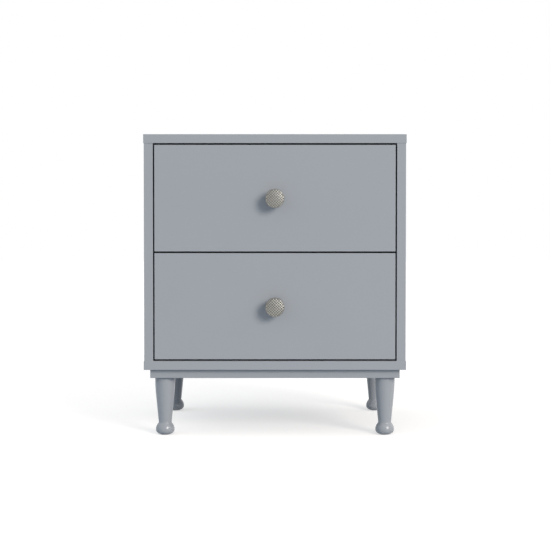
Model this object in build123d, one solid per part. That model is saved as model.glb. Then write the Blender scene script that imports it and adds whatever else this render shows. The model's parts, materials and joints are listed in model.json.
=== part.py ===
from build123d import *
import os

# A painted two-drawer nightstand on turned legs, in millimetres, with +Z up.
# The front faces -Y. The origin is on the floor, midway between the sides, and
# midway between the tips of the knobs and the back edge of the top.

# Case
WIDTH = 528.0
CASE_DEPTH = 400.0
HEIGHT = 610.0
BOARD = 18.0
OVERHANG = 1.0
EDGE_ROUND = 0.6
SIDE_EDGE_ROUND = 0.5
BACK_BOARD = 4.0
BACK_SET_IN = 10.0
GROOVE_DEPTH = 6.0
GROOVE_ROOM = 0.2
PANEL_ROOM_IN_GROOVE = 0.5

# Base and legs
LEG_HEIGHT = 118.0
BASE_THICKNESS = 18.0
BASE_SET_IN = 12.0
RAIL_WIDTH = 60.0
RAIL_EDGE_ROUND = 1.0
LEG_SET_IN = 28.2
LEG_TOP_RADIUS = 20.4
LEG_TAPER_RADIUS = 18.6
LEG_TAPER_TOP = 80.0
LEG_NECK_RADIUS = 13.1
LEG_NECK_HEIGHT = 23.8
LEG_NECK_ROUND = 4.0
BALL_FOOT_RADIUS = 19.1
BALL_FOOT_HEIGHT = 10.0
FOOT_FLAT_RADIUS = 11.5
GLIDE_RADIUS = 10.5
GLIDE_THICKNESS = 3.0
GLIDE_SHOWS = 1.0
LEG_BOLT_RADIUS = 4.0
LEG_BOLT_DEPTH = 40.0
LEG_BOLT_REACH = 14.0
TEE_NUT_BARREL_RADIUS = 5.0
TEE_NUT_BARREL_LENGTH = 12.0
TEE_NUT_FLANGE_RADIUS = 10.0
TEE_NUT_FLANGE_THICKNESS = 1.5

# Case fittings
CAM_RADIUS = 7.5
CAM_DEPTH = 12.5
CAM_FROM_END = 34.0
CAM_SLOT_RADIUS = 3.6
CAM_CROSS_WIDTH = 2.0
CAM_CROSS_DEPTH = 2.5
STUD_RADIUS = 3.0
STUD_BORE_RADIUS = 4.0
STUD_DEPTH_IN_PANEL = 11.0
DOWEL_RADIUS = 4.0
DOWEL_DEPTH_IN_SIDE = 19.0
DOWEL_DEPTH_IN_PANEL = 11.0
CAM_FROM_FRONT = 45.0
CAM_FROM_BACK = 60.0
DOWEL_FROM_CAM = 32.0
BASE_SCREW_LENGTH = 32.0
BASE_SCREW_SPACING = 150.0

# Drawers
FRONT_GAP_SIDE = 2.9
FRONT_GAP_LEVEL = 3.4
BOX_BOARD = 12.0
BOX_DEPTH = 354.0
BOX_HEIGHT = 155.0
BOX_LIFT = 22.0
BOX_EDGE_ROUND = 1.5
BOX_BOTTOM = 5.0
BOX_BOTTOM_LIFT = 12.0
BOX_DOWEL_RADIUS = 3.0
BOX_DOWEL_LENGTH = 36.0
BOX_DOWEL_HEIGHTS = (36.0, 118.0)
FRONT_SCREW_LENGTH = 24.0
FRONT_SCREW_X = 150.0
FRONT_SCREW_HEIGHTS = (45.0, 120.0)

# Knob
KNOB_RADIUS = 19.0
KNOB_REACH = 30.0
KNOB_FOOT_RADIUS = 9.5
KNOB_FOOT_THICKNESS = 2.5
KNOB_NECK_RADIUS = 6.0
KNOB_BACK = 13.0
KNOB_RIM_BACK = 18.5
KNOB_RIM_FRONT = 27.5
KNOB_ROUND = 1.0
KNOB_SCREW_RADIUS = 2.0
KNOB_SCREW_BITE = 12.0

# Runners, in section: u runs from the side panel towards the drawer, v is height
RUNNER_LENGTH = 350.0
RUNNER_SET_BACK = 2.0
RUNNER_LIFT = 70.0
RUNNER_WIDTH = 12.7
RUNNER_HALF_HEIGHT = 22.8
RUNNER_WEB = 1.2
RUNNER_FLANGE = 1.6
RUNNER_CORNER = 1.4
RACEWAY_DEPTH = 0.5
BALL_RADIUS = 1.6
BALL_ROOM = 0.25
BALLS_IN_ROW = 5
BALL_PITCH = 17.0
CAGE_LENGTH = 96.0
CAGE_SHEET = 0.6
CABINET_TIP_U = 10.4
MIDDLE_WEB_U = 2.6
MIDDLE_TIP_U = 11.0
DRAWER_TIP_U = 5.8
OUTER_CAGE_U = 1.6
OUTER_CAGE_TIP_U = 8.2
OUTER_BALL_U = 5.6
INNER_CAGE_U = 4.4
INNER_CAGE_TIP_U = 10.8
INNER_BALL_U = 8.6
CABINET_SCREW_PLACES = (37.0, 165.0, 293.0)
CABINET_SCREW_LENGTH = 13.0
DRAWER_SCREW_PLACES = (45.0, 300.0)
DRAWER_SCREW_LENGTH = 10.0
WEB_SLOT_LENGTH = 9.0
WEB_SLOT_WIDTH = 4.6
CABINET_SLOT_PLACES = (69.0, 229.0, 325.0)
DRAWER_SLOT_PLACES = (71.0, 274.0)
ACCESS_HOLE_RADIUS = 5.0
ACCESS_HOLE_PLACES = (52.0, 298.0)

# Screw sizes
WOOD_SCREW_RADIUS = 2.0
WOOD_SCREW_HEAD = 4.0
RUNNER_SCREW_RADIUS = 1.7
RUNNER_SCREW_HEAD = 3.3
PAN_HEAD_HEIGHT = 2.2
PAN_HEAD_FLAT_SHARE = 0.6

# Places that follow from those sizes
SIDE_HALF = WIDTH / 2 - OVERHANG
OPENING_HALF = SIDE_HALF - BOARD
BACK_Y = (CASE_DEPTH - OVERHANG + KNOB_REACH) / 2
PANEL_FRONT_Y = BACK_Y - CASE_DEPTH
FACE_Y = PANEL_FRONT_Y + OVERHANG
FRONT_BACK_Y = FACE_Y + BOARD
BASE_TOP_Z = LEG_HEIGHT + BASE_THICKNESS
OPENING_BOTTOM_Z = BASE_TOP_Z + BOARD
OPENING_TOP_Z = HEIGHT - BOARD
BACK_BOARD_Y = (BACK_Y - BACK_SET_IN - BACK_BOARD, BACK_Y - BACK_SET_IN)
FRONT_HALF = OPENING_HALF - FRONT_GAP_SIDE
FRONT_HEIGHT = (OPENING_TOP_Z - OPENING_BOTTOM_Z - 3 * FRONT_GAP_LEVEL) / 2
BOX_HALF = OPENING_HALF - RUNNER_WIDTH
BOX_INNER_HALF = BOX_HALF - BOX_BOARD
BOX_Y = (FRONT_BACK_Y, FRONT_BACK_Y + BOX_DEPTH)
RUNNER_Y = FRONT_BACK_Y + RUNNER_SET_BACK
BASE_HALF = WIDTH / 2 - BASE_SET_IN
BASE_Y = (PANEL_FRONT_Y + BASE_SET_IN, BACK_Y - BASE_SET_IN)
LEG_X = BASE_HALF - LEG_SET_IN
LEG_Y = {"front": BASE_Y[0] + LEG_SET_IN, "back": BASE_Y[1] - LEG_SET_IN}
SIDES = {"left": -1, "right": 1}
DRAWER_BOTTOM_Z = {
    "lower": OPENING_BOTTOM_Z + FRONT_GAP_LEVEL,
    "upper": OPENING_BOTTOM_Z + 2 * FRONT_GAP_LEVEL + FRONT_HEIGHT,
}


def block(x, y, z):
    """A board between the low and high value given for each axis."""
    size = [high - low for low, high in (x, y, z)]
    middle = [(low + high) / 2 for low, high in (x, y, z)]
    return Pos(*middle) * Box(*size)


def rod(radius, start, end):
    """A round rod from one point to another."""
    along = Vector(*end) - Vector(*start)
    upright = Cylinder(radius, along.length, align=(Align.CENTER, Align.CENTER, Align.MIN))
    return Plane(origin=start, z_dir=along) * upright


def turned(points, seat, direction):
    """A solid turned from (radius, distance) points about the line from seat along direction."""
    profile = make_face(Polyline([(radius, 0, along) for radius, along in points], close=True))
    return Plane(origin=seat, z_dir=direction) * revolve(profile, Axis.Z)


def flat_screw(seat, direction, length, shank, head):
    """A countersunk screw with its head level with seat."""
    cone = head - shank
    points = [(0, 0), (head, 0), (shank, cone), (shank, length - 2 * shank), (0, length)]
    return turned(points, seat, direction)


def pan_screw(seat, direction, length, shank, head):
    """A screw whose domed head sits on seat."""
    top = -PAN_HEAD_HEIGHT
    points = [(0, top), (head * PAN_HEAD_FLAT_SHARE, top), (head, top / 2), (head, 0), (shank, 0)]
    points += [(shank, length - 2 * shank), (0, length)]
    return turned(points, seat, direction)


def group(solids):
    """Separate solids that share one node."""
    return Compound(children=list(solids))


def case_ends():
    """Each end of each side panel: side sign, end height, and the direction into the panel there."""
    for side in SIDES.values():
        yield side, OPENING_TOP_Z, 1
        yield side, OPENING_BOTTOM_Z, -1


def case_fittings():
    """Cam locks, studs and dowels that hold the sides to the top and bottom panels, with their bores."""
    cams, studs, dowels, bores = [], [], [], []
    rows = ((FACE_Y + CAM_FROM_FRONT, 1), (BACK_Y - CAM_FROM_BACK, -1))
    for side, end_z, out in case_ends():
        middle_x = side * (OPENING_HALF + BOARD / 2)
        cam_z = end_z - out * CAM_FROM_END
        for cam_y, inward in rows:
            face = (side * OPENING_HALF, cam_y, cam_z)
            floor = (side * (OPENING_HALF + CAM_DEPTH), cam_y, cam_z)
            centre = (middle_x, cam_y, cam_z)
            mouth = (middle_x, cam_y, end_z)
            cam = rod(CAM_RADIUS, face, floor) - rod(CAM_SLOT_RADIUS, centre, mouth)
            cam -= Pos(*face) * Box(2 * CAM_CROSS_DEPTH, CAM_CROSS_WIDTH, CAM_RADIUS)
            cam -= Pos(*face) * Box(2 * CAM_CROSS_DEPTH, CAM_RADIUS, CAM_CROSS_WIDTH)
            cams.append(cam)
            studs.append(rod(STUD_RADIUS, centre, (middle_x, cam_y, end_z + out * STUD_DEPTH_IN_PANEL)))
            bores.append(rod(CAM_RADIUS, face, floor))
            bores.append(rod(STUD_BORE_RADIUS, centre, mouth))
            dowel_y = cam_y + inward * DOWEL_FROM_CAM
            low = (middle_x, dowel_y, end_z - out * DOWEL_DEPTH_IN_SIDE)
            high = (middle_x, dowel_y, end_z + out * DOWEL_DEPTH_IN_PANEL)
            dowels.append(rod(DOWEL_RADIUS, low, high))
    return cams, studs, dowels, bores


def back_groove(x, z):
    """The groove that the back board slides into."""
    low, high = BACK_BOARD_Y
    return block(x, (low - GROOVE_ROOM, high + GROOVE_ROOM), z)


def level_panel(z, groove_z, fittings):
    """The top or bottom panel: softened edges, a stopped groove for the back, and fitting holes."""
    panel = block((-WIDTH / 2, WIDTH / 2), (PANEL_FRONT_Y, BACK_Y), z)
    panel = fillet(panel.edges(), EDGE_ROUND)
    reach = OPENING_HALF + GROOVE_DEPTH
    return panel - back_groove((-reach, reach), groove_z) - fittings


def side_panel(side, fittings):
    """A side panel: softened front edges, a groove for the back, and bores for the fittings."""
    x = sorted((side * OPENING_HALF, side * SIDE_HALF))
    z = (OPENING_BOTTOM_Z, OPENING_TOP_Z)
    panel = block(x, (FACE_Y, BACK_Y), z)
    panel = fillet(panel.faces().sort_by(Axis.Y)[0].edges().filter_by(Axis.Z), SIDE_EDGE_ROUND)
    groove_x = sorted((side * OPENING_HALF, side * (OPENING_HALF + GROOVE_DEPTH)))
    return panel - back_groove(groove_x, z) - fittings


def back_board():
    """The thin back, held in grooves on all four sides."""
    grip = GROOVE_DEPTH - PANEL_ROOM_IN_GROOVE
    x = (-OPENING_HALF - grip, OPENING_HALF + grip)
    return block(x, BACK_BOARD_Y, (OPENING_BOTTOM_Z - grip, OPENING_TOP_Z + grip))


def base_screws():
    """Screws from inside the case, down through the bottom panel into the base rails."""
    half_rail = RAIL_WIDTH / 2
    places = [(x, y) for x in (-BASE_SCREW_SPACING, 0, BASE_SCREW_SPACING)
              for y in (BASE_Y[0] + half_rail, BASE_Y[1] - half_rail)]
    middle_y = (BASE_Y[0] + BASE_Y[1]) / 2
    places += [(side * (BASE_HALF - half_rail), middle_y + step)
               for side in SIDES.values() for step in (-BASE_SCREW_SPACING / 2, BASE_SCREW_SPACING / 2)]
    return [flat_screw((x, y, OPENING_BOTTOM_Z), (0, 0, -1), BASE_SCREW_LENGTH,
                       WOOD_SCREW_RADIUS, WOOD_SCREW_HEAD) for x, y in places]


def base_rails(cutters):
    """The base frame: full-width front and back rails with side rails between them."""
    z = (LEG_HEIGHT, BASE_TOP_Z)
    across = (-BASE_HALF, BASE_HALF)
    front, back = BASE_Y
    between = (front + RAIL_WIDTH, back - RAIL_WIDTH)
    rails = {
        "base_front_rail": block(across, (front, front + RAIL_WIDTH), z),
        "base_back_rail": block(across, (back - RAIL_WIDTH, back), z),
        "base_left_rail": block((-BASE_HALF, RAIL_WIDTH - BASE_HALF), between, z),
        "base_right_rail": block((BASE_HALF - RAIL_WIDTH, BASE_HALF), between, z),
    }
    outer_face = {"front": (Axis.Y, 0), "back": (Axis.Y, -1), "left": (Axis.X, 0), "right": (Axis.X, -1)}
    for name, rail in rails.items():
        axis, which = outer_face[name.split("_")[1]]
        lower_edge = rail.faces().sort_by(axis)[which].edges().sort_by(Axis.Z)[0]
        rails[name] = fillet(lower_edge, RAIL_EDGE_ROUND) - cutters
    return rails


def leg_profile():
    """Half of the leg's outline: flat foot, ball, narrow neck, and a taper that swells to the top."""
    foot = (FOOT_FLAT_RADIUS, 0, GLIDE_SHOWS)
    widest = (BALL_FOOT_RADIUS, 0, BALL_FOOT_HEIGHT)
    neck = (LEG_NECK_RADIUS, 0, LEG_NECK_HEIGHT)
    swell = (LEG_TAPER_RADIUS, 0, LEG_TAPER_TOP)
    rim = (LEG_TOP_RADIUS, 0, LEG_HEIGHT)
    taper = Line(neck, swell)
    edges = [
        Line((0, 0, GLIDE_SHOWS), foot),
        TangentArc(widest, foot, tangent=(0, 0, -1)),
        TangentArc(widest, neck, tangent=(0, 0, 1)),
        taper,
        TangentArc(swell, rim, tangent=taper % 1),
        Line(rim, (0, 0, LEG_HEIGHT)),
        Line((0, 0, LEG_HEIGHT), (0, 0, GLIDE_SHOWS)),
    ]
    face = make_face(edges)
    corner = face.vertices().sort_by_distance(neck)[0]
    return fillet(corner, LEG_NECK_ROUND)


def legs():
    """The four legs with their bolts, tee nuts and glides, and the bores in the base rails."""
    blank = revolve(leg_profile(), Axis.Z)
    pieces, bolts, nuts, glides, bores = {}, [], [], [], []
    seat_z = BASE_TOP_Z - TEE_NUT_FLANGE_THICKNESS
    barrel_z = seat_z - TEE_NUT_BARREL_LENGTH
    for row, y in LEG_Y.items():
        for side_name, side in SIDES.items():
            x = side * LEG_X
            bolt_low = (x, y, LEG_HEIGHT - LEG_BOLT_DEPTH)
            bolt_high = (x, y, LEG_HEIGHT + LEG_BOLT_REACH)
            bolt = rod(LEG_BOLT_RADIUS, bolt_low, bolt_high)
            barrel = rod(TEE_NUT_BARREL_RADIUS, (x, y, barrel_z), (x, y, seat_z))
            flange = rod(TEE_NUT_FLANGE_RADIUS, (x, y, seat_z), (x, y, BASE_TOP_Z))
            bore = rod(LEG_BOLT_RADIUS, (x, y, LEG_HEIGHT), (x, y, BASE_TOP_Z))
            glide = rod(GLIDE_RADIUS, (x, y, 0), (x, y, GLIDE_THICKNESS))
            glide = fillet(glide.edges().sort_by(Axis.Z)[0], GLIDE_SHOWS / 2)
            pieces[f"{row}_{side_name}_leg"] = Pos(x, y, 0) * blank - bolt - glide
            bolts.append(bolt)
            nuts.append(barrel + flange - bore)
            glides.append(glide)
            bores += [barrel + flange, bore]
    return pieces, bolts, nuts, glides, bores


def channel(web_u, web_inner_u, tip_u, half_height, flange):
    """A C-shaped section: a web with a flange at the top and bottom."""
    inner = half_height - flange
    points = [(web_u, -half_height), (tip_u, -half_height), (tip_u, -inner), (web_inner_u, -inner)]
    points += [(u, -v) for u, v in reversed(points)]
    return make_face(Polyline(points, close=True))


def member_section(web_u, web_inner_u, tip_u, level, raceways):
    """A rolled runner section, with rounded outer corners and grooves for the balls."""
    half_height = RUNNER_HALF_HEIGHT - level * runner_step()
    section = channel(web_u, web_inner_u, tip_u, half_height, RUNNER_FLANGE)
    corners = section.vertices().filter_by_position(Axis.X, web_u, web_u)
    section = fillet(corners, RUNNER_CORNER)
    groove = Circle(BALL_RADIUS + BALL_ROOM)
    for u, row in raceways:
        section -= [Pos(u, v) * groove for v in (ball_height(row), -ball_height(row))]
    return section


def runner_step():
    """How far each nested section's flange lies inside the next one's."""
    return RUNNER_FLANGE + 2 * (BALL_RADIUS + BALL_ROOM - RACEWAY_DEPTH)


def ball_height(row):
    """Height of the outer (0) or inner (1) row of balls above the runner's middle line."""
    flange_inside = RUNNER_HALF_HEIGHT - RUNNER_FLANGE - row * runner_step()
    return flange_inside + RACEWAY_DEPTH - BALL_ROOM - BALL_RADIUS


def runner_plane(side, axis_z):
    """The plane that a runner's section is drawn on, at the front end of the runner."""
    return Plane(origin=(side * OPENING_HALF, RUNNER_Y, axis_z), x_dir=(-side, 0, 0), z_dir=(0, 1, 0))


def web_cuts(side, axis_z, outline, places):
    """Cutters across a runner, at distances from its front end."""
    plane = Plane(origin=(side * OPENING_HALF, RUNNER_Y, axis_z), x_dir=(0, 1, 0), z_dir=(-side, 0, 0))
    return [extrude(plane * (Pos(place, 0) * outline), RUNNER_WIDTH) for place in places]


def runner_members(side, axis_z):
    """The cabinet, middle and drawer members of one closed runner, with the cut-outs in their webs."""
    middle_web_end = MIDDLE_WEB_U + RUNNER_WEB
    drawer_web_start = RUNNER_WIDTH - RUNNER_WEB
    outer, inner = (OUTER_BALL_U, 0), (INNER_BALL_U, 1)
    sections = {
        "cabinet": member_section(0, RUNNER_WEB, CABINET_TIP_U, 0, [outer]),
        "middle": member_section(MIDDLE_WEB_U, middle_web_end, MIDDLE_TIP_U, 1, [outer, inner]),
        "drawer": member_section(RUNNER_WIDTH, drawer_web_start, DRAWER_TIP_U, 2, [inner]),
    }
    level_slot = SlotOverall(WEB_SLOT_LENGTH, WEB_SLOT_WIDTH)
    upright_slot = SlotOverall(WEB_SLOT_LENGTH, WEB_SLOT_WIDTH, rotation=90)
    cuts = {
        "cabinet": web_cuts(side, axis_z, level_slot, CABINET_SLOT_PLACES),
        "middle": web_cuts(side, axis_z, Circle(ACCESS_HOLE_RADIUS), ACCESS_HOLE_PLACES),
        "drawer": web_cuts(side, axis_z, upright_slot, DRAWER_SLOT_PLACES),
    }
    plane = runner_plane(side, axis_z)
    members = {name: extrude(plane * section, RUNNER_LENGTH) for name, section in sections.items()}
    return {name: member - cuts[name] for name, member in members.items()}


def ball_cage(side, axis_z, web_u, tip_u, ball_u, row):
    """One cage at the middle of a closed runner, and the two rows of balls that it keeps apart."""
    plane = runner_plane(side, axis_z)
    height = ball_height(row)
    half = CAGE_SHEET / 2
    section = channel(web_u, web_u + CAGE_SHEET, tip_u, height + half, CAGE_SHEET)
    start = (RUNNER_LENGTH - CAGE_LENGTH) / 2
    cage = extrude(plane * (Pos(0, 0, start) * section), CAGE_LENGTH)
    first = RUNNER_LENGTH / 2 - BALL_PITCH * (BALLS_IN_ROW - 1) / 2
    balls = []
    for v in (height, -height):
        for count in range(BALLS_IN_ROW):
            place = plane * Pos(ball_u, v, first + count * BALL_PITCH)
            centre = place.position
            low = centre - Vector(0, 0, CAGE_SHEET)
            high = centre + Vector(0, 0, CAGE_SHEET)
            cage -= rod(BALL_RADIUS + BALL_ROOM, low, high)
            balls.append(Pos(*centre) * Sphere(BALL_RADIUS))
    return [cage] + balls


def cabinet_member_screws(side, axis_z):
    """Countersunk screws through a cabinet member into the side panel."""
    x = side * (OPENING_HALF - RUNNER_WEB)
    return [flat_screw((x, RUNNER_Y + place, axis_z), (side, 0, 0), CABINET_SCREW_LENGTH,
                       RUNNER_SCREW_RADIUS, RUNNER_SCREW_HEAD) for place in CABINET_SCREW_PLACES]


def drawer_member_screws(side, axis_z):
    """Pan-head screws through a drawer member into the side of the drawer box."""
    x = side * (BOX_HALF + RUNNER_WEB)
    return [pan_screw((x, RUNNER_Y + place, axis_z), (-side, 0, 0), DRAWER_SCREW_LENGTH,
                      RUNNER_SCREW_RADIUS, RUNNER_SCREW_HEAD) for place in DRAWER_SCREW_PLACES]


def drawer_front(bottom_z, cutters):
    """An inset drawer front with softened front edges."""
    front = block((-FRONT_HALF, FRONT_HALF), (FACE_Y, FRONT_BACK_Y), (bottom_z, bottom_z + FRONT_HEIGHT))
    corners = front.edges().filter_by(Axis.Y)
    face_edges = front.faces().sort_by(Axis.Y)[0].edges()
    return fillet(corners + face_edges, EDGE_ROUND) - cutters


def drawer_box(bottom_z, cutters):
    """The four walls of a drawer box, grooved for the bottom, with softened top edges."""
    z = (bottom_z, bottom_z + BOX_HEIGHT)
    across = (-BOX_INNER_HALF, BOX_INNER_HALF)
    front, back = BOX_Y
    walls = {
        "box_front": block(across, (front, front + BOX_BOARD), z),
        "box_back": block(across, (back - BOX_BOARD, back), z),
        "box_left": block((-BOX_HALF, -BOX_INNER_HALF), BOX_Y, z),
        "box_right": block((BOX_INNER_HALF, BOX_HALF), BOX_Y, z),
    }
    long_axis = {"box_front": Axis.X, "box_back": Axis.X, "box_left": Axis.Y, "box_right": Axis.Y}
    groove_low = bottom_z + BOX_BOTTOM_LIFT
    reach_x = BOX_INNER_HALF + GROOVE_DEPTH
    reach_y = (front + BOX_BOARD - GROOVE_DEPTH, back - BOX_BOARD + GROOVE_DEPTH)
    groove = block((-reach_x, reach_x), reach_y, (groove_low, groove_low + BOX_BOTTOM + GROOVE_ROOM))
    for name, wall in walls.items():
        top_edges = wall.faces().sort_by(Axis.Z)[-1].edges().filter_by(long_axis[name])
        walls[name] = fillet(top_edges, BOX_EDGE_ROUND) - groove - cutters
    grip = GROOVE_DEPTH - PANEL_ROOM_IN_GROOVE
    bottom_x = (-BOX_INNER_HALF - grip, BOX_INNER_HALF + grip)
    bottom_y = (front + BOX_BOARD - grip, back - BOX_BOARD + grip)
    walls["box_bottom"] = block(bottom_x, bottom_y, (groove_low, groove_low + BOX_BOTTOM))
    return walls


def box_dowels(bottom_z):
    """Dowels through the box sides into the ends of the box front and back."""
    dowels = []
    for side in SIDES.values():
        for y in (BOX_Y[0] + BOX_BOARD / 2, BOX_Y[1] - BOX_BOARD / 2):
            for height in BOX_DOWEL_HEIGHTS:
                start = (side * BOX_HALF, y, bottom_z + height)
                end = (side * (BOX_HALF - BOX_DOWEL_LENGTH), y, bottom_z + height)
                dowels.append(rod(BOX_DOWEL_RADIUS, start, end))
    return dowels


def front_screws(bottom_z):
    """Screws from inside the drawer box into the back of the drawer front."""
    y = BOX_Y[0] + BOX_BOARD
    return [pan_screw((side * FRONT_SCREW_X, y, bottom_z + height), (0, -1, 0), FRONT_SCREW_LENGTH,
                      WOOD_SCREW_RADIUS, WOOD_SCREW_HEAD)
            for side in SIDES.values() for height in FRONT_SCREW_HEIGHTS]


def knob_and_screw(centre_z):
    """A mushroom knob with a domed face, and the screw that holds it from inside the drawer box."""
    foot_top = (KNOB_FOOT_RADIUS, 0, KNOB_FOOT_THICKNESS)
    neck_low = (KNOB_NECK_RADIUS, 0, KNOB_FOOT_THICKNESS + KNOB_FOOT_RADIUS - KNOB_NECK_RADIUS)
    neck_high = (KNOB_NECK_RADIUS, 0, KNOB_BACK)
    cove_end = (KNOB_NECK_RADIUS + KNOB_RIM_BACK - KNOB_BACK, 0, KNOB_RIM_BACK)
    rim_back = (KNOB_RADIUS, 0, KNOB_RIM_BACK)
    rim_front = (KNOB_RADIUS, 0, KNOB_RIM_FRONT)
    tip = (0, 0, KNOB_REACH)
    edges = [
        Line((0, 0, 0), (KNOB_FOOT_RADIUS, 0, 0)),
        Line((KNOB_FOOT_RADIUS, 0, 0), foot_top),
        TangentArc(neck_low, foot_top, tangent=(0, 0, -1)),
        Line(neck_low, neck_high),
        TangentArc(neck_high, cove_end, tangent=(0, 0, 1)),
        Line(cove_end, rim_back),
        Line(rim_back, rim_front),
        TangentArc(tip, rim_front, tangent=(1, 0, 0)),
        Line(tip, (0, 0, 0)),
    ]
    profile = make_face(edges)
    rim = [profile.vertices().sort_by_distance(point)[0] for point in (rim_back, rim_front)]
    profile = fillet(rim, KNOB_ROUND)
    knob = Plane(origin=(0, FACE_Y, centre_z), z_dir=(0, -1, 0)) * revolve(profile, Axis.Z)
    seat_y = BOX_Y[0] + BOX_BOARD
    length = seat_y - FACE_Y + KNOB_SCREW_BITE
    screw = pan_screw((0, seat_y, centre_z), (0, -1, 0), length, KNOB_SCREW_RADIUS, WOOD_SCREW_HEAD)
    return knob - screw, screw


def drawer(name, nodes):
    """One drawer with its box, knob and runners. Returns the screws that enter the side panels."""
    front_z = DRAWER_BOTTOM_Z[name]
    box_z = front_z + BOX_LIFT
    axis_z = box_z + RUNNER_LIFT
    knob, knob_screw = knob_and_screw(front_z + FRONT_HEIGHT / 2)
    screws = front_screws(box_z)
    dowels = box_dowels(box_z)
    box_cutters = screws + dowels + [knob_screw]
    cabinet_screws, member_screws, outer_cages, inner_cages = [], [], [], []
    for side_name, side in SIDES.items():
        members = runner_members(side, axis_z)
        into_case = cabinet_member_screws(side, axis_z)
        into_box = drawer_member_screws(side, axis_z)
        nodes[f"{name}_{side_name}_cabinet_member"] = members["cabinet"] - into_case
        nodes[f"{name}_{side_name}_middle_member"] = members["middle"]
        nodes[f"{name}_{side_name}_drawer_member"] = members["drawer"] - into_box
        cabinet_screws += into_case
        member_screws += into_box
        outer_cages += ball_cage(side, axis_z, OUTER_CAGE_U, OUTER_CAGE_TIP_U, OUTER_BALL_U, 0)
        inner_cages += ball_cage(side, axis_z, INNER_CAGE_U, INNER_CAGE_TIP_U, INNER_BALL_U, 1)
    nodes[f"{name}_front"] = drawer_front(front_z, screws + [knob_screw])
    for wall_name, wall in drawer_box(box_z, box_cutters + member_screws).items():
        nodes[f"{name}_{wall_name}"] = wall
    nodes[f"{name}_box_dowels"] = group(dowels)
    nodes[f"{name}_front_screws"] = group(screws)
    nodes[f"{name}_knob"] = knob
    nodes[f"{name}_knob_screw"] = knob_screw
    nodes[f"{name}_member_screws"] = group(member_screws)
    nodes[f"{name}_outer_ball_cages"] = group(outer_cages)
    nodes[f"{name}_inner_ball_cages"] = group(inner_cages)
    return cabinet_screws


def nightstand():
    """Every piece of the nightstand, by node name, with both drawers closed."""
    nodes = {}
    runner_screws = []
    for name in DRAWER_BOTTOM_Z:
        runner_screws += drawer(name, nodes)
    cams, studs, dowels, bores = case_fittings()
    to_base = base_screws()
    leg_pieces, bolts, nuts, glides, leg_bores = legs()
    top_z = (OPENING_TOP_Z, HEIGHT)
    bottom_z = (BASE_TOP_Z, OPENING_BOTTOM_Z)
    nodes["top_panel"] = level_panel(top_z, (OPENING_TOP_Z, OPENING_TOP_Z + GROOVE_DEPTH), studs + dowels)
    nodes["bottom_panel"] = level_panel(
        bottom_z, (OPENING_BOTTOM_Z - GROOVE_DEPTH, OPENING_BOTTOM_Z), studs + dowels + to_base)
    for side_name, side in SIDES.items():
        nodes[f"{side_name}_side_panel"] = side_panel(side, bores + dowels + runner_screws)
    nodes["back_panel"] = back_board()
    nodes.update(base_rails(to_base + leg_bores))
    nodes.update(leg_pieces)
    nodes["case_cam_locks"] = group(cams)
    nodes["case_cam_studs"] = group(studs)
    nodes["case_dowels"] = group(dowels)
    nodes["base_screws"] = group(to_base)
    nodes["leg_bolts"] = group(bolts)
    nodes["leg_tee_nuts"] = group(nuts)
    nodes["foot_glides"] = group(glides)
    nodes["cabinet_member_screws"] = group(runner_screws)
    return nodes


os.makedirs("parts", exist_ok=True)
for node_name, shape in nightstand().items():
    export_step(shape, f"parts/{node_name}.step")
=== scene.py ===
import json
import math

import bmesh
import bpy
from mathutils import Matrix, Vector


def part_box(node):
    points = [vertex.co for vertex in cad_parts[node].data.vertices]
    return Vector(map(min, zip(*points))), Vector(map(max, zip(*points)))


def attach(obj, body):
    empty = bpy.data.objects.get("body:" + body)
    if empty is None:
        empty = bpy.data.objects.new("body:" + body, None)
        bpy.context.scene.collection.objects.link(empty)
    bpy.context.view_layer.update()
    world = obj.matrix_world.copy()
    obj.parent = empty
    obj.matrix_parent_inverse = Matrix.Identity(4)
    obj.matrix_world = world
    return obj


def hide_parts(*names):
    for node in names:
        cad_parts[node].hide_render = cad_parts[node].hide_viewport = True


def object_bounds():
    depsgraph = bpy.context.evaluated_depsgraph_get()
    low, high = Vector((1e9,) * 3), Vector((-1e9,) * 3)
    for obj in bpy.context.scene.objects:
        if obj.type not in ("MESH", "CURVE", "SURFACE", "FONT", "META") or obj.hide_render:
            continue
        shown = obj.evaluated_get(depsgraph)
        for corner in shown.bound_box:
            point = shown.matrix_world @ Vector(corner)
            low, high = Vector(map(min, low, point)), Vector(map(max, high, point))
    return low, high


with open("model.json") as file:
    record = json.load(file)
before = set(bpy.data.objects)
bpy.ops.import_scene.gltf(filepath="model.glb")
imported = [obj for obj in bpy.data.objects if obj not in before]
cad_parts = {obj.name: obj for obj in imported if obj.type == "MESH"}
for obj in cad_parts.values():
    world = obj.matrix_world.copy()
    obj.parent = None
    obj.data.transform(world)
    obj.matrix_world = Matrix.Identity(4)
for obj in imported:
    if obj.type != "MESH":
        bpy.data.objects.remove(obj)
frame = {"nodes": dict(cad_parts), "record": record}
cad_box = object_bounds()

MM = 0.001
MICRON = 1e-6
LEVELS = ("upper", "lower")

# Camera, in the part's frame
CAMERA_PLACE = (0.0026, -3.2638, 0.5332)
CAMERA_TILT_DOWN = math.radians(1.772)
CAMERA_LENS = 100.494
CAMERA_SENSOR = 36.0
CAMERA_SHIFT = (-0.0022, -0.1)

# Light on the part. An azimuth goes to the right from the front.
KEY_AZIMUTH = math.radians(35)
KEY_ELEVATION = math.radians(21)
KEY_DISTANCE = 14.0
KEY_RADIUS = 3.0
KEY_IRRADIANCE = 2.22
KEY_COLOUR = (1.0, 0.952, 0.902)
HIGHLIGHT_RADIUS = 2.0
BACK_AZIMUTH = math.radians(188)
BACK_IRRADIANCE = 1.3
ROOM_LIGHT = 0.455
ROOM_LEFT_COLOUR = (0.93, 1.11, 1.30)
ROOM_COLOUR = (0.99, 1.0, 1.01)
COOL_SHARE = 0.8
SIDE_LIGHT = 2.2
SIDE_FALLOFF = 4.0

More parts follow.
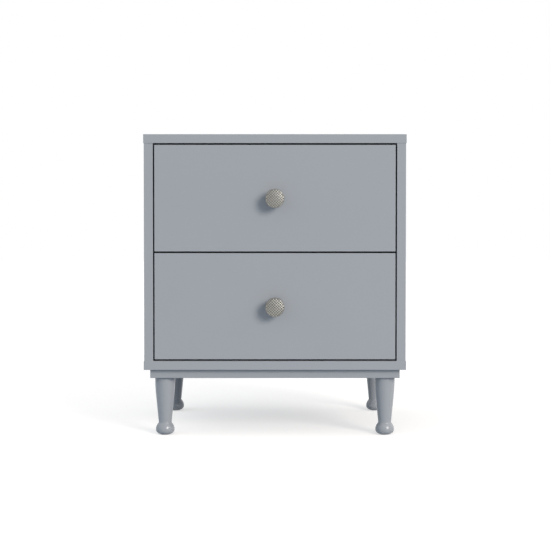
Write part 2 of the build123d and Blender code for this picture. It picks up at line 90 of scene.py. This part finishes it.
# White floor
FLOOR_HALF = 6.0
FLOOR_DROP = 0.3 * MM
FLOOR_SEEN_COLOUR = (0.610, 0.590, 0.570)
FLOOR_BOUNCE_COLOUR = (0.214, 0.280, 0.363)
FLOOR_GLOW = 0.53
FLOOR_LIGHT = 0.93
FLOOR_LIGHT_AZIMUTH = math.radians(-30)
FLOOR_LIGHT_ELEVATION = math.radians(55)
FLOOR_LIGHT_ANGLE = math.radians(80)

# Paint and wood
PAINT_COLOUR = (0.345, 0.363, 0.387)
BIRCH_LIGHT = (0.66, 0.50, 0.33)
BIRCH_DARK = (0.54, 0.38, 0.22)
BIRCH_END = (0.36, 0.23, 0.12)
BEECH_LIGHT = (0.58, 0.41, 0.25)
BEECH_DARK = (0.42, 0.27, 0.15)
BIRCH_GRAIN_STRETCH = 0.05
BEECH_GRAIN_STRETCH = 0.1
PLY_THICKNESS = 1.33 * MM

# Metal and nylon
NICKEL_COLOUR = (0.205, 0.203, 0.191)
# Lighter copy of the nickel for the knurl's flat tops: a painted highlight
HIGHLIGHT_NICKEL_COLOUR = (0.420, 0.418, 0.396)
NICKEL_GLOSS = (0.42, 0.56)
RUNNER_COLOUR = (0.50, 0.51, 0.52)
# Near-black on the runners' end faces: painted shade for the gaps round the drawer fronts
END_SHADE_COLOUR = (0.05, 0.05, 0.05)
ROLLING_STRETCH = 0.02
CAGE_COLOUR = (0.50, 0.50, 0.50)
SCREW_COLOUR = (0.58, 0.58, 0.56)
CAST_ZINC_COLOUR = (0.42, 0.42, 0.42)
NYLON_COLOUR = (0.75, 0.74, 0.70)
METAL_FINE_RATIO = 6

# Knob, from its foot on the drawer front to the middle of its face
KNOB_SIDES = 96
KNOB_SHARP_ANGLE = math.radians(25)
KNOB_FOOT_RADIUS = 9.5 * MM
KNOB_FOOT_ROUND = 0.5 * MM
KNOB_FOOT_THICKNESS = 2.5 * MM
KNOB_NECK_RADIUS = 6.0 * MM
KNOB_BACK = 13.0 * MM
KNOB_RIM_BACK = 18.5 * MM
KNOB_DOME = 2.5 * MM
KNURL_TURN = math.radians(45)
KNURL_PITCH = 3.8 * MM
KNURL_DEPTH = 0.9 * MM
KNURL_TOP_SHARE = 0.66
KNURL_WELD = KNURL_PITCH / 50
KNURL_CUT_WELD = KNURL_PITCH / 200
KNURL_SKIRT = 3 * KNURL_DEPTH
BEZEL_WIDTH = 1.7 * MM
BEZEL_DEPTH = 2 * KNURL_DEPTH
BEZEL_ROUND = 0.8 * MM

# Screws, as shares of the head's radius, and of a dome's height for its rim and shoulder
SCREW_SIDES = 32
SCREW_SHARP_ANGLE = math.radians(30)
SHANK_SHARE = 0.5
POINT_SHARE = 1.0
DOME_HEIGHT_SHARE = 0.55
DOME_FLAT_SHARE = 0.62
DOME_RIM_SHARE = 0.5
DOME_SHOULDER_SHARE = 0.2
HEAD_RIM_SHARE = 0.08
RECESS_ARM_SHARE = 0.55
RECESS_HALF_WIDTH_SHARE = 0.12
RECESS_DEPTH_SHARE = 0.35
RECESS_TAPER = 0.6

# Points this close to the axis or to each other, in metres, are one
ON_AXIS = 1e-7
SAME_PLACE = 1e-6


def add_node(tree, kind, settings=None, **inputs):
    """A shader node with its settings and inputs. An input that is a socket is linked."""
    made = tree.nodes.new(kind)
    for key, value in (settings or {}).items():
        setattr(made, key, value)
    for key, value in inputs.items():
        feed(tree, made.inputs[key.replace("_", " ")], value)
    return made


def feed(tree, socket, value):
    """Links a socket to another one, or sets its value."""
    if isinstance(value, bpy.types.NodeSocket):
        tree.links.new(value, socket)
    else:
        socket.default_value = value


def new_material(name, **constants):
    """A material, its node tree and its shader, with the shader's constant inputs set."""
    material = bpy.data.materials.new(name)
    material.use_nodes = True
    tree = material.node_tree
    shader = tree.nodes["Principled BSDF"]
    for key, value in constants.items():
        shader.inputs[key.replace("_", " ")].default_value = value
    return material, tree, shader


def place(tree, scale=(1, 1, 1)):
    """Places on the piece in metres, stretched by scale."""
    coordinates = add_node(tree, "ShaderNodeTexCoord").outputs["Object"]
    return add_node(tree, "ShaderNodeMapping", Vector=coordinates, Scale=scale).outputs["Vector"]


def noise(tree, vector, lumps, detail, roughness=0.5):
    """Noise from 0 to 1 with the given number of lumps in a metre."""
    made = add_node(tree, "ShaderNodeTexNoise", Vector=vector, Scale=lumps, Detail=detail,
                    Roughness=roughness)
    return made.outputs["Fac"]


def ramp(tree, value, low=0.0, high=1.0, start=0.0, end=1.0):
    """Maps a value from start..end to low..high."""
    made = add_node(tree, "ShaderNodeMapRange", Value=value, From_Min=start, From_Max=end,
                    To_Min=low, To_Max=high)
    return made.outputs["Result"]


def maths(tree, operation, first, second=0.0):
    """A sum, product, power and so on of two values."""
    made = add_node(tree, "ShaderNodeMath", {"operation": operation})
    feed(tree, made.inputs[0], first)
    feed(tree, made.inputs[1], second)
    return made.outputs[0]


def mix_colour(tree, share, first, second):
    """A colour between two others."""
    made = add_node(tree, "ShaderNodeMix", {"data_type": "RGBA"})
    tree.links.new(share, made.inputs[0])
    colour_inputs = [socket for socket in made.inputs if socket.type == "RGBA"]
    for socket, value in zip(colour_inputs, (first, second)):
        feed(tree, socket, value if isinstance(value, bpy.types.NodeSocket) else (*value, 1.0))
    return [socket for socket in made.outputs if socket.type == "RGBA"][0]


def bump(tree, height, depth, under=None):
    """A bump of the given depth in metres, over another bump if one is given."""
    made = add_node(tree, "ShaderNodeBump", Height=height, Distance=depth, Strength=1.0)
    if under is not None:
        tree.links.new(under, made.inputs["Normal"])
    return made.outputs["Normal"]


def facing(tree, axis):
    """How squarely the surface faces along an axis, from 0 to 1."""
    outward = add_node(tree, "ShaderNodeTexCoord").outputs["Normal"]
    parts = add_node(tree, "ShaderNodeSeparateXYZ", Vector=outward).outputs
    return maths(tree, "ABSOLUTE", parts[axis])


def shade(colour, factor):
    """A colour made lighter or darker."""
    return tuple(channel * factor for channel in colour)


def connect(tree, shader, colour, roughness, normal):
    """Wires a shader's colour, roughness and surface normal."""
    tree.links.new(colour, shader.inputs["Base Color"])
    tree.links.new(roughness, shader.inputs["Roughness"])
    tree.links.new(normal, shader.inputs["Normal"])


def satin_paint():
    """Sprayed satin paint: faint mottling, uneven gloss and a fine orange-peel surface."""
    material, tree, shader = new_material("satin_paint", Specular_IOR_Level=0.5)
    where = place(tree)
    mottling = noise(tree, where, lumps=9, detail=3)
    dark, light = shade(PAINT_COLOUR, factor=0.985), shade(PAINT_COLOUR, factor=1.015)
    gloss = ramp(tree, noise(tree, where, lumps=35, detail=4), low=0.22, high=0.29)
    waves = bump(tree, noise(tree, where, lumps=60, detail=1), depth=20 * MICRON)
    peel = bump(tree, noise(tree, where, lumps=650, detail=2), depth=9 * MICRON, under=waves)
    connect(tree, shader, mix_colour(tree, mottling, dark, light), gloss, peel)
    return material


def painted_hardboard():
    """Thin matt paint on hardboard: the pressed fibres still show."""
    material, tree, shader = new_material("painted_hardboard", Specular_IOR_Level=0.3)
    where = place(tree)
    fibres = noise(tree, where, lumps=420, detail=5, roughness=0.65)
    blotches = noise(tree, where, lumps=14, detail=4)
    dark, light = shade(PAINT_COLOUR, factor=0.93), shade(PAINT_COLOUR, factor=1.02)
    gloss = ramp(tree, fibres, low=0.55, high=0.75)
    colour = mix_colour(tree, blotches, dark, light)
    connect(tree, shader, colour, gloss, bump(tree, fibres, depth=90 * MICRON))
    return material


def birch_plywood(name, along, through):
    """Lacquered birch plywood: grain along one axis, and stripes where an edge cuts through the plies."""
    material, tree, shader = new_material(name, Specular_IOR_Level=0.4)
    stretch = [1.0, 1.0, 1.0]
    stretch[along] = BIRCH_GRAIN_STRETCH
    where = place(tree, stretch)
    figure = noise(tree, where, lumps=26, detail=5, roughness=0.6)
    fibres = noise(tree, where, lumps=950, detail=3)
    face = mix_colour(tree, ramp(tree, figure, start=0.3, end=0.7), BIRCH_LIGHT, BIRCH_DARK)
    streaks = ramp(tree, fibres, high=0.45, start=0.45, end=0.8)
    face = mix_colour(tree, streaks, face, shade(BIRCH_DARK, factor=0.75))
    axis = "XYZ"[through]
    depth = add_node(tree, "ShaderNodeSeparateXYZ", Vector=place(tree)).outputs[axis]
    plies = maths(tree, "DIVIDE", maths(tree, "PINGPONG", depth, PLY_THICKNESS), PLY_THICKNESS)
    edge = mix_colour(tree, ramp(tree, plies, start=0.4, end=0.6), BIRCH_LIGHT, BIRCH_END)
    colour = mix_colour(tree, ramp(tree, facing(tree, axis), start=0.6, end=0.8), edge, face)
    gloss = ramp(tree, fibres, low=0.38, high=0.55)
    connect(tree, shader, colour, gloss, bump(tree, fibres, depth=30 * MICRON))
    return material


def beech():
    """Bare beech, with grain along the dowels of the drawer boxes and short dark flecks."""
    material, tree, shader = new_material("beech", Specular_IOR_Level=0.3)
    where = place(tree, (BEECH_GRAIN_STRETCH, 1.0, 1.0))
    grain = noise(tree, where, lumps=700, detail=4)
    flecks = noise(tree, where, lumps=2600, detail=2)
    colour = mix_colour(tree, ramp(tree, grain, start=0.3, end=0.7), BEECH_LIGHT, BEECH_DARK)
    flecked = ramp(tree, flecks, high=0.6, start=0.55, end=0.75)
    colour = mix_colour(tree, flecked, colour, shade(BEECH_DARK, factor=0.6))
    gloss = ramp(tree, grain, low=0.55, high=0.75)
    connect(tree, shader, colour, gloss, bump(tree, flecks, depth=40 * MICRON))
    return material


def metal(name, colour, spread, lumps, gloss, pits, stretch=(1, 1, 1)):
    """Bare or plated metal: cloudy colour, uneven gloss and a fine surface, all stretched alike."""
    material, tree, shader = new_material(name, Metallic=1.0)
    where = place(tree, stretch)
    clouds = noise(tree, where, lumps, detail=4)
    fine = noise(tree, where, METAL_FINE_RATIO * lumps, detail=3)
    tint = mix_colour(tree, clouds, shade(colour, 1 - spread), shade(colour, 1 + spread))
    connect(tree, shader, tint, ramp(tree, fine, *gloss), bump(tree, fine, depth=pits))
    return material


def satin_nickel():
    """Warm grey satin nickel with slightly uneven polish."""
    return metal("satin_nickel", NICKEL_COLOUR, spread=0.1, lumps=180, gloss=NICKEL_GLOSS, pits=4 * MICRON)


def painted_highlight_nickel():
    """Nickel on the tops of the knurl, about twice as light as the rest: a painted highlight for the light
    that the flat tops reflect.
    """
    return metal("painted_highlight_nickel", HIGHLIGHT_NICKEL_COLOUR, spread=0.08, lumps=180, gloss=NICKEL_GLOSS,
                 pits=4 * MICRON)


def rolled_zinc_steel():
    """Zinc-plated strip steel, streaked along its length, with its end faces painted nearly black: painted
    shade, so the ends stay dark in the gaps round the drawer fronts.
    """
    material = metal("rolled_zinc_steel", RUNNER_COLOUR, spread=0.12, lumps=320, gloss=(0.22, 0.42),
                     pits=6 * MICRON, stretch=(1.0, ROLLING_STRETCH, 1.0))
    tree = material.node_tree
    base_colour = tree.nodes["Principled BSDF"].inputs["Base Color"]
    plated = base_colour.links[0].from_socket
    # Faces that look along Y get painted shade, nearly black, in place of the plated colour
    cut = ramp(tree, facing(tree, "Y"), start=0.8, end=0.95)
    tree.links.new(mix_colour(tree, cut, plated, END_SHADE_COLOUR), base_colour)
    return material


def bright_steel():
    """Bright steel of the ball cages and balls."""
    return metal("bright_steel", CAGE_COLOUR, spread=0.08, lumps=500, gloss=(0.15, 0.3), pits=2 * MICRON)


def zinc_plating():
    """Zinc plating on screws, studs, bolts and nuts."""
    return metal("zinc_plating", SCREW_COLOUR, spread=0.14, lumps=420, gloss=(0.25, 0.45), pits=5 * MICRON)


def cast_zinc():
    """Dull cast zinc with a grainy skin."""
    return metal("cast_zinc", CAST_ZINC_COLOUR, spread=0.15, lumps=260, gloss=(0.5, 0.7), pits=40 * MICRON)


def moulded_nylon():
    """Off-white moulded nylon, slightly scuffed."""
    material, tree, shader = new_material("moulded_nylon", Specular_IOR_Level=0.5)
    scuffs = noise(tree, place(tree), lumps=240, detail=5)
    colour = mix_colour(tree, scuffs, shade(NYLON_COLOUR, factor=0.88), NYLON_COLOUR)
    gloss = ramp(tree, scuffs, low=0.4, high=0.6)
    connect(tree, shader, colour, gloss, bump(tree, scuffs, depth=30 * MICRON))
    return material


nickel = satin_nickel()
# The lighter nickel paints a highlight on the knurl's flat tops
knurl_top_highlight = painted_highlight_nickel()
zinc = zinc_plating()
sheets = {
    "box_left": birch_plywood("birch_box_sides", along=1, through=0),
    "box_front": birch_plywood("birch_box_ends", along=0, through=1),
    "box_bottom": birch_plywood("birch_box_bottom", along=0, through=2),
}
sheets["box_right"] = sheets["box_left"]
sheets["box_back"] = sheets["box_front"]
finishes = {
    "painted_wood": satin_paint(),
    "back_board": painted_hardboard(),
    "dowel_wood": beech(),
    "nickel": nickel,
    "runner_steel": rolled_zinc_steel(),
    "cage_steel": bright_steel(),
    "zinc_steel": zinc,
    "cast_zinc": cast_zinc(),
    "glide_nylon": moulded_nylon(),
}
for entry in frame["record"]["subparts"]:
    wall = entry["node"].partition("_")[2]
    finish = sheets[wall] if wall in sheets else finishes[entry["material_slot"]]
    materials = frame["nodes"][entry["node"]].data.materials
    materials.clear()
    materials.append(finish)


def link(name, data):
    """A new object in the scene."""
    made = bpy.data.objects.new(name, data)
    bpy.context.scene.collection.objects.link(made)
    return made


def to_mesh(bm, name):
    """A mesh from a bmesh, which is freed."""
    mesh = bpy.data.meshes.new(name)
    bm.to_mesh(mesh)
    bm.free()
    return mesh


def lathe(bm, profile, sides):
    """Turns (radius, height) points about the Z axis, closes ends on the axis and returns the rings."""
    rings = []
    for radius, height in profile:
        if radius < ON_AXIS:
            rings.append([bm.verts.new((0, 0, height))])
            continue
        ring = []
        for side in range(sides):
            angle = 2 * math.pi * side / sides
            ring.append(bm.verts.new((radius * math.cos(angle), radius * math.sin(angle), height)))
        rings.append(ring)
    for low, high in zip(rings, rings[1:]):
        for side in range(sides):
            after = (side + 1) % sides
            corners = [low[side % len(low)], low[after % len(low)]]
            corners += [high[after % len(high)], high[side % len(high)]]
            bm.faces.new(list(dict.fromkeys(corners)))
    return rings


def arc(centre, radius, start, end, steps):
    """Points along an arc, with angles in degrees."""
    points = []
    for step in range(steps + 1):
        angle = math.radians(start + (end - start) * step / steps)
        points.append((centre[0] + radius * math.cos(angle), centre[1] + radius * math.sin(angle)))
    return points


def finish_mesh(bm, name, sharp_angle, *materials):
    """An object from a bmesh, smooth except along its sharp edges."""
    bmesh.ops.recalc_face_normals(bm, faces=bm.faces)
    mesh = to_mesh(bm, name)
    mesh.polygons.foreach_set("use_smooth", [True] * len(mesh.polygons))
    mesh.set_sharp_from_angle(angle=sharp_angle)
    for material in materials:
        mesh.materials.append(material)
    return link(name, mesh)


def dome_height(radius, rim_radius, rim_height, tip_height):
    """Height of a round dome that reaches tip_height on the axis and rim_height at the rim."""
    rise = tip_height - rim_height
    curve = (rim_radius ** 2 + rise ** 2) / (2 * rise)
    return tip_height - curve + math.sqrt(curve ** 2 - radius ** 2)


def knurled_cap(bm, radius, height_at):
    """A dome of flat-topped diamonds between crossing grooves, cut round, with a skirt and a floor."""
    reach = math.ceil(radius / KNURL_PITCH * math.sqrt(2)) + 1
    turn = Matrix.Rotation(KNURL_TURN, 3, "Z")

    def diamond(i, j, share, lift):
        made = []
        for across, up in ((-1, -1), (1, -1), (1, 1), (-1, 1)):
            x, y = i + across * share / 2, j + up * share / 2
            made.append(bm.verts.new(turn @ Vector((x * KNURL_PITCH, y * KNURL_PITCH, lift))))
        return made

    for i in range(-reach, reach):
        for j in range(-reach, reach):
            low = diamond(i + 0.5, j + 0.5, share=1.0, lift=0)
            top = diamond(i + 0.5, j + 0.5, share=KNURL_TOP_SHARE, lift=KNURL_DEPTH)
            # The flat tops take the second, lighter nickel: a painted highlight
            bm.faces.new(top).material_index = 1
            for side in range(4):
                after = (side + 1) % 4
                bm.faces.new((low[side], low[after], top[after], top[side]))
    bmesh.ops.remove_doubles(bm, verts=bm.verts, dist=KNURL_WELD)
    for side in range(KNOB_SIDES):
        angle = 2 * math.pi * (side + 0.5) / KNOB_SIDES
        outward = Vector((math.cos(angle), math.sin(angle), 0))
        everything = bm.verts[:] + bm.edges[:] + bm.faces[:]
        bmesh.ops.bisect_plane(bm, geom=everything, plane_co=outward * radius, plane_no=outward,
                               clear_outer=True)
    bmesh.ops.remove_doubles(bm, verts=bm.verts, dist=KNURL_CUT_WELD)
    for vertex in bm.verts:
        vertex.co.z += height_at(min(vertex.co.xy.length, radius)) - KNURL_DEPTH
    rim = [edge for edge in bm.edges if edge.is_boundary]
    floor = height_at(radius) - KNURL_SKIRT
    for item in bmesh.ops.extrude_edge_only(bm, edges=rim)["geom"]:
        if isinstance(item, bmesh.types.BMVert):
            item.co.z = floor
    bmesh.ops.holes_fill(bm, edges=[edge for edge in bm.edges if edge.is_boundary])


def knob(level):
    """A knurled knob in the place of the plain one: a turned body with a bezel round a knurled cap."""
    low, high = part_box(f"{level}_knob")
    radius, reach = (high.x - low.x) / 2, high.y - low.y
    cap_radius = radius - BEZEL_WIDTH
    cove = KNOB_FOOT_RADIUS - KNOB_NECK_RADIUS
    flare = KNOB_RIM_BACK - KNOB_BACK
    lip = BEZEL_ROUND / 2

    def face_height(distance):
        return dome_height(distance, radius, reach - KNOB_DOME, reach)

    bm = bmesh.new()
    knurled_cap(bm, cap_radius, face_height)
    top = face_height(cap_radius)
    foot_edge = KNOB_FOOT_RADIUS - KNOB_FOOT_ROUND
    rim_edge = radius - BEZEL_ROUND
    body = [(0, 0)]
    body += arc((foot_edge, KNOB_FOOT_ROUND), KNOB_FOOT_ROUND, start=-90, end=0, steps=4)
    body += arc((KNOB_FOOT_RADIUS, KNOB_FOOT_THICKNESS + cove), cove, start=270, end=180, steps=10)
    body += arc((KNOB_NECK_RADIUS + flare, KNOB_BACK), flare, start=180, end=90, steps=12)
    body += arc((rim_edge, KNOB_RIM_BACK + BEZEL_ROUND), BEZEL_ROUND, start=-90, end=0, steps=5)
    body += arc((rim_edge, top - BEZEL_ROUND), BEZEL_ROUND, start=0, end=90, steps=5)
    body += arc((cap_radius + lip, top - lip), lip, start=90, end=180, steps=4)
    body += [(cap_radius, top - BEZEL_DEPTH), (0, top - BEZEL_DEPTH)]
    lathe(bm, body, KNOB_SIDES)
    made = finish_mesh(bm, f"{level}_knurled_knob", KNOB_SHARP_ANGLE, nickel, knurl_top_highlight)
    face_forward = Matrix(((1, 0, 0), (0, 0, -1), (0, 1, 0))).to_4x4()
    middle = (low + high) / 2
    made.matrix_world = Matrix.Translation((middle.x, high.y, middle.z)) @ face_forward
    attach(made, f"{level}_drawer")
    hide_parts(f"{level}_knob")
    return made


knobs = [knob(level) for level in LEVELS]


def screw_places(node):
    """The lowest and highest corner of each separate screw of a CAD node."""
    bm = bmesh.new()
    bm.from_mesh(frame["nodes"][node].data)
    bmesh.ops.remove_doubles(bm, verts=bm.verts, dist=SAME_PLACE)
    places = []
    for start in bm.verts:
        if start.tag:
            continue
        start.tag = True
        found = [start]
        for vertex in found:
            for edge in vertex.link_edges:
                other = edge.other_vert(vertex)
                if not other.tag:
                    other.tag = True
                    found.append(other)
        low = Vector([min(vertex.co[axis] for vertex in found) for axis in range(3)])
        high = Vector([max(vertex.co[axis] for vertex in found) for axis in range(3)])
        places.append((low, high))
    bm.free()
    return places


def cut_cross(bm, top, radius):
    """Sinks a tapered cross into the flat top face of a screw head."""
    arm, half = RECESS_ARM_SHARE * radius, RECESS_HALF_WIDTH_SHARE * radius
    faces = [top]
    for across in (Vector((1, 0, 0)), Vector((0, 1, 0))):
        for distance in (-arm, -half, half, arm):
            edges = dict.fromkeys(edge for face in faces for edge in face.edges)
            corners = dict.fromkeys(vertex for face in faces for vertex in face.verts)
            cut = bmesh.ops.bisect_plane(bm, geom=[*faces, *edges, *corners],
                                         plane_co=across * distance, plane_no=across)
            faces = [item for item in cut["geom"] if isinstance(item, bmesh.types.BMFace)]
    recess = []
    for face in faces:
        near, far = sorted(abs(value) for value in face.calc_center_median().xy)
        if near < half and far < arm:
            recess.append(face)
    for item in bmesh.ops.extrude_face_region(bm, geom=recess)["geom"]:
        if isinstance(item, bmesh.types.BMVert):
            item.co.z -= RECESS_DEPTH_SHARE * radius
            item.co.xy *= RECESS_TAPER
    bmesh.ops.delete(bm, geom=[face for face in recess if face.is_valid], context="FACES")


def screw_mesh(length, radius, domed):
    """One screw that points down from the origin, with its head's top there."""
    bm = bmesh.new()
    shank = SHANK_SHARE * radius
    profile = [(0, -length), (shank, POINT_SHARE * radius - length)]
    if domed:
        height, flat = DOME_HEIGHT_SHARE * radius, DOME_FLAT_SHARE * radius
        profile += [(shank, -height), (radius, -height), (radius, -DOME_RIM_SHARE * height)]
        profile += [((radius + flat) / 2, -DOME_SHOULDER_SHARE * height), (flat, 0)]
    else:
        rim = HEAD_RIM_SHARE * radius
        profile += [(shank, shank - radius), (radius, -rim), (radius - rim, 0)]
    rings = lathe(bm, profile, SCREW_SIDES)
    cut_cross(bm, bm.faces.new(rings[-1]), radius)
    return to_mesh(bm, "screw")


def screws(node, body, domed, towards_head):
    """Cross-head screws in the place of a node's plain ones. towards_head takes a screw's X place."""
    places = screw_places(node)
    low, high = places[0]
    size = high - low
    along = max(range(3), key=lambda axis: abs(towards_head(low.x)[axis]))
    radius = size[(along + 1) % 3] / 2
    pattern = screw_mesh(size[along], radius, domed)
    bm = bmesh.new()
    for low, high in places:
        direction = Vector(towards_head(low.x))
        top = (low + high) / 2 + direction * size[along] / 2
        turn = direction.to_track_quat("Z", "Y").to_matrix().to_4x4()
        count = len(bm.verts)
        bm.from_mesh(pattern)
        bm.verts.ensure_lookup_table()
        bmesh.ops.transform(bm, matrix=Matrix.Translation(top) @ turn, verts=bm.verts[count:])
    bpy.data.meshes.remove(pattern)
    made = finish_mesh(bm, f"{node}_cross_head", SCREW_SHARP_ANGLE, zinc)
    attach(made, body)
    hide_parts(node)


screws("base_screws", "carcass", False, lambda x: (0, 0, 1))
screws("cabinet_member_screws", "carcass", False, lambda x: (-math.copysign(1, x), 0, 0))
for level in LEVELS:
    screws(f"{level}_front_screws", f"{level}_drawer", True, lambda x: (0, 1, 0))
    screws(f"{level}_knob_screw", f"{level}_drawer", True, lambda x: (0, 1, 0))
    screws(f"{level}_member_screws", f"{level}_drawer", True, lambda x: (math.copysign(1, x), 0, 0))


def seen_rays(tree):
    """1 for rays from the camera and through glossy or clear surfaces, and 0 for those that light things."""
    path = add_node(tree, "ShaderNodeLightPath").outputs
    mirrored = maths(tree, "MAXIMUM", path["Is Camera Ray"], path["Is Glossy Ray"])
    return maths(tree, "MAXIMUM", mirrored, path["Is Transmission Ray"])


def add_lamp(lamp, towards, distance=0.0):
    """Puts a lamp in the scene, shining from the given direction at the middle of the part."""
    made = link(lamp.name, lamp)
    made.location = (Vector(cad_box[0]) + Vector(cad_box[1])) / 2 + towards * distance
    made.rotation_euler = towards.to_track_quat("Z", "Y").to_euler()
    return made


def heading(azimuth, elevation):
    """The direction at an azimuth to the right of the front and an elevation above the floor."""
    outward = math.cos(elevation)
    return Vector((math.sin(azimuth) * outward, -math.cos(azimuth) * outward, math.sin(elevation)))


def studio():
    """A white studio, brighter at its sides and cooler to the left."""
    world = bpy.data.worlds.new("studio")
    bpy.context.scene.world = world
    world.use_nodes = True
    tree = world.node_tree
    background = tree.nodes["Background"].inputs
    direction = add_node(tree, "ShaderNodeTexCoord").outputs["Generated"]
    parts = add_node(tree, "ShaderNodeSeparateXYZ", Vector=direction).outputs
    sideways = maths(tree, "POWER", maths(tree, "ABSOLUTE", parts["X"]), SIDE_FALLOFF)
    walls = maths(tree, "MULTIPLY", sideways, maths(tree, "MAXIMUM", parts["Z"], 0.0))
    lighting = maths(tree, "ADD", maths(tree, "MULTIPLY", walls, SIDE_LIGHT), ROOM_LIGHT)
    rightward = ramp(tree, parts["X"], start=-1.0, end=COOL_SHARE - 1.0)
    tint = mix_colour(tree, rightward, ROOM_LEFT_COLOUR, ROOM_COLOUR)
    seen = seen_rays(tree)
    tree.links.new(ramp(tree, seen, low=lighting), background["Strength"])
    tree.links.new(mix_colour(tree, seen, tint, (1, 1, 1)), background["Color"])


def key_light(name, radius, azimuth=KEY_AZIMUTH, irradiance=KEY_IRRADIANCE):
    """A large soft lamp, to the right of the camera unless an azimuth is given."""
    lamp = bpy.data.lights.new(name, "AREA")
    lamp.shape = "DISK"
    lamp.size = 2 * radius
    lamp.energy = irradiance * math.pi * KEY_DISTANCE ** 2
    lamp.color = KEY_COLOUR
    return add_lamp(lamp, heading(azimuth, KEY_ELEVATION), KEY_DISTANCE)


def limit_light(light, pieces):
    """Lets a light fall on the given pieces alone."""
    group = bpy.data.collections.new(f"{light.name}_receivers")
    for piece in pieces:
        group.objects.link(piece)
    light.light_linking.receiver_collection = group


def light_part():
    """The key light and a light behind, without glare on flat boards, and highlights on legs and knobs."""
    key_light("key", KEY_RADIUS).visible_glossy = False
    highlights = key_light("highlights", HIGHLIGHT_RADIUS)
    highlights.visible_diffuse = False
    legs = [piece for node, piece in frame["nodes"].items() if node.endswith("_leg")]
    limit_light(highlights, legs + knobs)
    back = key_light("back", KEY_RADIUS, BACK_AZIMUTH, BACK_IRRADIANCE)
    back.visible_glossy = False
    limit_light(back, frame["nodes"].values())


def stage_floor():
    """A white floor that keeps the soft shadow of the part."""
    bm = bmesh.new()
    bmesh.ops.create_grid(bm, x_segments=1, y_segments=1, size=FLOOR_HALF)
    floor = link("floor", to_mesh(bm, "floor"))
    floor.location.z = -FLOOR_DROP
    material, tree, shader = new_material("floor_white", Roughness=1.0, Specular_IOR_Level=0.0,
                                          Emission_Color=(1, 1, 1, 1))
    seen = seen_rays(tree)
    colour = mix_colour(tree, seen, FLOOR_BOUNCE_COLOUR, FLOOR_SEEN_COLOUR)
    tree.links.new(ramp(tree, seen, high=FLOOR_GLOW), shader.inputs["Emission Strength"])
    tree.links.new(colour, shader.inputs["Base Color"])
    floor.data.materials.append(material)
    return floor


def light_floor(floor):
    """A soft light from the front left on the floor alone, which deepens the shadow under the part."""
    lamp = bpy.data.lights.new("floor_light", "SUN")
    lamp.energy = FLOOR_LIGHT
    lamp.angle = FLOOR_LIGHT_ANGLE
    limit_light(add_lamp(lamp, heading(FLOOR_LIGHT_AZIMUTH, FLOOR_LIGHT_ELEVATION)), [floor])


def camera():
    """The photograph's view: level with the upper drawer, straight from the front."""
    data = bpy.data.cameras.new("camera")
    data.lens = CAMERA_LENS
    data.sensor_width = CAMERA_SENSOR
    data.shift_x, data.shift_y = CAMERA_SHIFT
    made = link("camera", data)
    made.location = CAMERA_PLACE
    made.rotation_euler = (math.pi / 2 - CAMERA_TILT_DOWN, 0, 0)
    bpy.context.scene.camera = made


studio()
light_part()
light_floor(stage_floor())
camera()
bpy.context.scene.view_settings.view_transform = "Standard"
